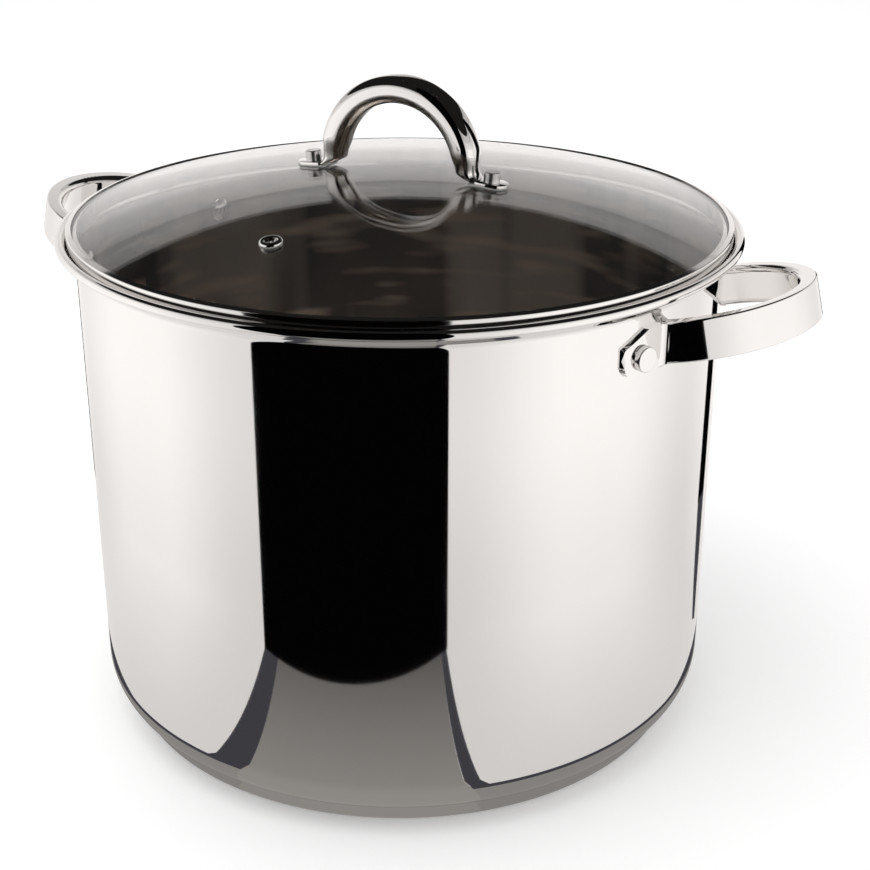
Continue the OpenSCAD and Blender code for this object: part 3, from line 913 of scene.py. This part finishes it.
@dataclass
class Lid:
    """The glass, its band and the handle with its fasteners."""

    dome: float = 550.0
    glass: float = 4.0
    dome_steps: int = 40

    def build(self, shop: Shop) -> None:
        """Makes the lid's pieces."""
        self.build_glass(shop)
        RimBand(self.dome, self.glass).build(shop)
        BowHandle(self.dome).build(shop)
        shop.copy("vent_eyelet", "vent_eyelet_piece", "lid", EYELET, flat_faces=False)
        for node in ("cap_nut_right", "cap_nut_left"):
            shop.copy(node, f"{node}_piece", "lid", FASTENER)
        for node in ("lid_screw_right", "lid_screw_left", "steel_washer_right", "steel_washer_left"):
            shop.dress(node, FASTENER)
        for node in (
            "vent_seal", "soft_washer_right", "soft_washer_left", "handle_pad_right", "handle_pad_left",
        ):
            shop.dress(node, SEAL)

    def build_glass(self, shop: Shop) -> None:
        """Models the domed glass as one turned disc."""
        centre = dome_centre(self.dome)
        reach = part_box("lid_glass")[1].x / MM
        under = self.dome - self.glass
        angle = math.degrees(math.asin(reach / self.dome))
        under_angle = math.degrees(math.asin(reach / under))
        pen = Outline(0.0, centre + self.dome)
        pen.arc(0.0, centre, angle, self.dome_steps)
        pen.line(reach, centre + under * math.cos(math.radians(under_angle)), 2)
        pen.arc(0.0, centre, -under_angle, self.dome_steps)
        piece = make_piece("dome_glass", pen.spin(), [coat(GLASS)])
        shop.place(piece, "lid", "lid_glass", "lid_glass")


# ---- studio


@dataclass(frozen=True)
class RoomLight:
    """The even light of the room and one large soft lamp above, in metres and watts."""

    level: float = 0.9
    size: float = 1.4
    energy: float = 8.0
    place: Triple = (-0.4, -0.5, 1.6)
    turn: Triple = (-0.4, -0.5, 1.5)

    def build(self) -> None:
        """Adds both."""
        world = bpy.data.worlds.new("studio")
        world.use_nodes = True
        background = world.node_tree.nodes["Background"]
        background.inputs["Color"].default_value = (1.0, 1.0, 1.0, 1.0)
        background.inputs["Strength"].default_value = self.level
        bpy.context.scene.world = world
        lamp = bpy.data.lights.new("soft_top", "AREA")
        lamp.shape = "DISK"
        lamp.size = self.size
        lamp.energy = self.energy
        holder = bpy.data.objects.new("soft_top", lamp)
        holder.location = self.place
        holder.rotation_euler = Vector(self.turn).to_track_quat("Z", "Y").to_euler()
        holder.visible_glossy = False
        holder.visible_transmission = False
        bpy.context.scene.collection.objects.link(holder)


@dataclass(frozen=True)
class ViewPoint:
    """Where the camera stands and looks, in metres, its roll in degrees and its lens in millimetres."""

    eye: Triple = (0.3118, -0.5997, 0.41275)
    target: Triple = (0.01348, 0.00663, 0.1199)
    roll: float = 0.13
    lens: float = 65.97
    sensor: float = 36.0
    nearest: float = 0.01

    def build(self) -> None:
        """Adds the camera."""
        eye = Vector(self.eye)
        roll = math.radians(self.roll)
        forward = (Vector(self.target) - eye).normalized()
        level_right = forward.cross(UP).normalized()
        level_up = level_right.cross(forward)
        right = level_right * math.cos(roll) + level_up * math.sin(roll)
        up = level_up * math.cos(roll) - level_right * math.sin(roll)
        data = bpy.data.cameras.new("camera")
        data.sensor_width = self.sensor
        data.lens = self.lens
        data.clip_start = self.nearest
        camera = bpy.data.objects.new("camera", data)
        turn = Matrix((right, up, -forward)).transposed().to_4x4()
        camera.matrix_world = Matrix.Translation(eye) @ turn
        bpy.context.scene.collection.objects.link(camera)
        bpy.context.scene.camera = camera


@dataclass
class Studio:
    """Pale floor and the reflectors round the pot, in millimetres.

    Directions are degrees round Z, measured from the camera's own direction,
    positive to its right. A pair of corners is the left and the right one, as
    X and Y.
    """

    floor_half: float = 30000.0
    floor_grey: float = 0.92
    floor_shine: float = 0.14
    view_azimuth: float = 26.2
    card_radius: float = 300.0
    panel_top: float = 384.0
    gap_left: float = -37.4
    gap_right: float = 12.6
    foot_distance: float = 253.0
    foot_turn: float = 11.0
    foot_width: float = 232.0
    foot_shift: float = 18.0
    dark_height: float = 900.0
    floor_lift: float = 0.3
    near_radius: float = 112.0
    slate_radius: float = 152.0
    pale_radius: float = 159.0
    # Distance from the axis where the painted floor shade in front is at its lightest.
    shade_start: float = 150.0
    ring_sides: int = 96
    room_height: float = 1300.0
    room_gap: float = 40.0
    panel_level: float = 1.25
    foot_level: float = 0.86
    pale_level: float = 0.64
    slit_right: Triple = (116.5, 125.5, 384.0)
    slit_left: Triple = (219.5, 228.0, 205.0)
    dark_sky_level: float = 0.012
    sky_level: float = 6.0
    seam_height: float = 347.0
    seam_half: float = 3.0
    seam_dimming: float = -0.4

    def __post_init__(self) -> None:
        """Works out the gap's middle, the room's radius and the levels round and up the panels."""
        self.gap_middle = (self.gap_left + self.gap_right) / 2.0
        self.room_radius = self.card_radius + self.room_gap
        self.turn_levels = ((0.14, 0.76), (0.33, 1.0), (0.42, 1.0), (0.62, 0.80), (0.72, 0.87), (1.0, 0.87))
        self.rise_levels = (
            (0.0, self.foot_level), (120.0, 1.0), (286.0, 0.95), (300.0, 0.78), (self.panel_top, 0.5),
        )

    def emit(self, nodes: Nodes, colour: tuple[float, ...], level: Socket | float = 1.0) -> Material:
        """Finishes a card's material, which stays out of sight straight through the glass.

        Args:
            nodes: The card's material.
            colour: Its colour.
            level: Its brightness.

        Returns:
            The material.
        """
        glow = nodes.fed("ShaderNodeEmission", {"Color": faded(colour), "Strength": level})
        path = nodes.add("ShaderNodeLightPath")
        bounced = nodes.math("ADD", path.outputs["Glossy Depth"], path.outputs["Diffuse Depth"])
        blend = nodes.add("ShaderNodeMixShader")
        nodes.join(nodes.math("MINIMUM", bounced, 1.0), blend.inputs["Fac"])
        nodes.join(nodes.add("ShaderNodeBsdfTransparent").outputs[0], blend.inputs[1])
        nodes.join(glow.outputs[0], blend.inputs[2])
        nodes.join(blend.outputs[0], nodes.output.inputs["Surface"])
        return nodes.material

    def glow(self, name: str, *colour: float) -> Material:
        """Returns a plain emitting material of a colour."""
        return self.emit(Nodes(name), colour)

    def around(self, nodes: Nodes) -> tuple[Socket, Socket, Socket]:
        """Measures a point of a card.

        Args:
            nodes: The card's material.

        Returns:
            The brightness in its direction, its distance and its height.
        """
        x, y, height = nodes.split()
        middle = math.radians(self.gap_middle + self.view_azimuth)
        east = nodes.math("MULTIPLY", x, math.sin(middle))
        across = nodes.math("ADD", east, nodes.math("MULTIPLY", y, -math.cos(middle)))
        distance = nodes.reach(x, y)
        turn = nodes.math("ARCCOSINE", nodes.math("DIVIDE", across, distance))
        return nodes.ramp(nodes.math("DIVIDE", turn, math.pi), self.turn_levels), distance, height

    def soft_white(self, nodes: Nodes, level: Socket) -> Material:
        """Finishes a card's material as a slightly warm white of a level."""
        return self.emit(nodes, (1.0, 0.975, 0.96), nodes.math("MULTIPLY", level, self.panel_level))

    def panel_glow(self) -> Material:
        """Returns the soft white of the panels, with a level seam that shows as a thin darker line."""
        nodes = Nodes("panel")
        around, _, height = self.around(nodes)
        upward = nodes.ramp(
            nodes.math("DIVIDE", height, self.panel_top * MM),
            tuple((at / self.panel_top, level) for at, level in self.rise_levels),
        )
        level = nodes.math("MULTIPLY", around, upward)
        line = nodes.math("COMPARE", height, self.seam_height * MM, self.seam_half * MM)
        seam = nodes.math("MULTIPLY_ADD", line, self.seam_dimming, 1.0)
        return self.soft_white(nodes, nodes.math("MULTIPLY", level, seam))

    def pale_glow(self) -> Material:
        """Returns the glow of the pale floor, which meets the foot of the panels at their brightness."""
        nodes = Nodes("pale_floor")
        around, distance, _ = self.around(nodes)
        span = self.pale_radius * MM, self.card_radius * MM
        near = nodes.remap(distance, self.pale_level, 0.0, *span)
        far = nodes.remap(distance, 0.0, self.foot_level, *span)
        return self.soft_white(nodes, nodes.math("MULTIPLY_ADD", around, far, near))

    def floor_shade_glow(self) -> Material:
        """Returns the glow of the grey field, painted shade of the floor shown only in reflections, which
        fades away from the pot.
        """
        nodes = Nodes("painted_floor_shade")
        x, y, _ = nodes.split()
        level = nodes.remap(nodes.reach(x, y), 0.335, 0.09, self.shade_start * MM, self.card_radius * MM)
        return self.emit(nodes, (1.0, 0.955, 0.91), level)

    def skylight(self) -> Material:
        """Returns the dark of the room's top, which shines only on what stands under the glass."""
        nodes = Nodes("skylight")
        path = nodes.add("ShaderNodeLightPath")
        level = nodes.remap(path.outputs["Is Transmission Ray"], self.dark_sky_level, self.sky_level)
        return self.emit(nodes, (1.0, 0.97, 0.93), level)

    def reflector(self, name: str, mesh: BMesh, material: Material) -> None:
        """Adds a card that shows in reflections only."""
        card = make_piece(name, mesh, [material])
        for rays in ("camera", "diffuse", "shadow", "volume_scatter"):
            setattr(card, f"visible_{rays}", False)

    def upright(
        self, name: str, radius: float, span: Pair, top: float, material: Material
    ) -> None:
        """Stands a card on the floor, curved round the pot.

        Args:
            name: The card's name.
            radius: Its distance from the axis.
            span: Its first and last direction.
            top: The height of its top.
            material: Its glow.
        """
        mesh = bmesh.new()
        foot = mesh.verts.new((0.0, -radius * MM, 0.0))
        bmesh.ops.extrude_vert_indiv(mesh, verts=[foot])["verts"][0].co.z = top * MM
        turn = Matrix.Rotation(math.radians(self.view_azimuth + span[0]), 3, "Z")
        bmesh.ops.rotate(mesh, cent=ORIGIN, matrix=turn, verts=mesh.verts[:])
        width = span[1] - span[0]
        bmesh.ops.spin(
            mesh, geom=mesh.verts[:] + mesh.edges[:], cent=ORIGIN, axis=UP,
            angle=math.radians(width), steps=max(4, int(width / 2)),
        )
        self.reflector(name, mesh, material)

    def patch(
        self, name: str, near: tuple[Pair, ...], far: tuple[Pair, ...],
        material: Material,
    ) -> None:
        """Lays a four-sided card on the floor, over the rings.

        Args:
            name: The card's name.
            near: The corners beside the pot.
            far: The corners away from the pot.
            material: Its glow.
        """
        mesh = bmesh.new()
        bmesh.ops.create_grid(mesh, x_segments=1, y_segments=1, size=1.0)
        for vertex in mesh.verts:
            row = near if vertex.co.y < 0.0 else far
            x, y = row[0] if vertex.co.x < 0.0 else row[1]
            vertex.co = (x * MM, y * MM, 2.0 * self.floor_lift * MM)
        self.reflector(name, mesh, material)

    def ring(self, name: str, inner: float, outer: float, material: Material) -> None:
        """Lays a ring-shaped card on the floor round the pot."""
        mesh = bmesh.new()
        bmesh.ops.create_circle(mesh, segments=self.ring_sides, radius=outer * MM)
        bmesh.ops.extrude_edge_only(mesh, edges=mesh.edges[:])
        mesh.verts.ensure_lookup_table()
        for vertex in mesh.verts[self.ring_sides:]:
            vertex.co *= inner / outer
        bmesh.ops.translate(mesh, verts=mesh.verts[:], vec=(0.0, 0.0, self.floor_lift * MM))
        self.reflector(name, mesh, material)

    def build_floor(self) -> None:
        """Adds the pale floor, which keeps the shadow and shows white to the camera and in the steel."""
        mesh = bmesh.new()
        bmesh.ops.create_grid(mesh, x_segments=1, y_segments=1, size=self.floor_half * MM)
        nodes = Nodes("floor")
        path = nodes.add("ShaderNodeLightPath")
        rays = nodes.math("ADD", path.outputs["Is Glossy Ray"], path.outputs["Is Transmission Ray"])
        seen = nodes.math("ADD", path.outputs["Is Camera Ray"], rays)
        material = nodes.principled(
            Base_Color=faded((self.floor_grey,) * 3),
            Roughness=0.9,
            Specular_IOR_Level=0.0,
            Emission_Color=(1.0, 1.0, 1.0, 1.0),
            Emission_Strength=nodes.math("MULTIPLY", nodes.math("MINIMUM", seen, 1.0), self.floor_shine),
        )
        make_piece("floor", mesh, [material])

    def build_floor_cards(self) -> None:
        """Lays the rings round the pot, the grey near one painted contact shade over a grey floor, the grey
        field of painted floor shade in front and the slate strips beside it.
        """
        slate = self.glow("slate", 0.058, 0.057, 0.068)
        # The near ring's grey is painted contact shade over a grey floor, shown only in reflections.
        grey = self.glow("near_floor_painted_shade", 0.29, 0.277, 0.266)
        self.ring("floor_pale", self.pale_radius, self.card_radius, self.pale_glow())
        self.ring("floor_slate", self.slate_radius, self.pale_radius, slate)
        self.ring("floor_near_painted_shade", self.near_radius, self.slate_radius, grey)
        left, right = (-28.0, -268.0), (173.0, -228.0)
        # The grey field in front is painted shade of the floor, shown only in reflections, darker away from
        # the pot.
        self.patch("floor_grey", ((-16.0, -130.0), (88.0, -97.0)), (left, right), self.floor_shade_glow())
        for name, near, far in (
            ("strip_left", ((-44.0, -150.0), (-18.0, -155.0)), ((-48.0, -272.0), left)),
            ("strip_right", ((102.0, -118.0), (110.0, -111.0)), (right, (184.0, -232.0))),
            ("strip_back", ((138.0, 104.0), (146.0, 102.0)), ((142.0, 264.0), (180.0, 240.0))),
        ):
            self.patch(name, near, far, slate)

    def build_cards(self) -> None:
        """Stands the white panels, the black cards and the dark room round the pot."""
        black = self.glow("black_card", 0.0012, 0.001, 0.001)
        gap = (self.gap_right, 360.0 + self.gap_left)
        self.upright("panels", self.card_radius, gap, self.panel_top, self.panel_glow())
        for name, (start, end, top) in (("slit_right", self.slit_right), ("slit_left", self.slit_left)):
            self.upright(name, self.card_radius - 1.0, (start, end), top, black)
        self.build_gap_card(black)
        room = self.glow("dark_room", 0.013, 0.0122, 0.0115)
        self.upright("room_wall", self.room_radius, (0.0, 360.0), self.room_height, room)
        mesh = bmesh.new()
        bmesh.ops.create_circle(
            mesh, cap_ends=True, segments=48, radius=self.room_radius * MM,
            matrix=Matrix.Translation((0.0, 0.0, self.room_height * MM)),
        )
        self.reflector("room_top", mesh, self.skylight())

    def build_gap_card(self, black: Material) -> None:
        """Stands the flat black card in the gap between the panels."""
        mesh = bmesh.new()
        bmesh.ops.create_grid(mesh, x_segments=1, y_segments=1, size=0.5)
        place = (
            Matrix.Rotation(math.radians(self.foot_turn), 4, "Z")
            @ Matrix.Translation(Vector((self.foot_shift, -self.foot_distance, self.dark_height / 2.0)) * MM)
            @ Matrix.Rotation(math.pi / 2.0, 4, "X")
            @ Matrix.Diagonal((self.foot_width * MM, self.dark_height * MM, 1.0, 1.0))
        )
        bmesh.ops.transform(mesh, matrix=place, verts=mesh.verts[:])
        self.reflector("card_black", mesh, black)

    def build(self) -> None:
        """Sets the whole studio."""
        ViewPoint().build()
        self.build_floor()
        self.build_floor_cards()
        self.build_cards()
        RoomLight().build()
        bpy.context.scene.view_settings.view_transform = "Standard"


def main() -> None:
    """Builds the studio and every sub-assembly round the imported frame."""
    logging.basicConfig(level=logging.INFO, format="%(name)s: %(message)s")
    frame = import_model()
    Studio().build()
    shop = Shop(frame["nodes"])
    PotBody().build(shop)
    SideHandles().build(shop)
    Lid().build(shop)
    LOG.info("%d pieces dressed", shop.count)


if __name__ == "__main__":
    main()
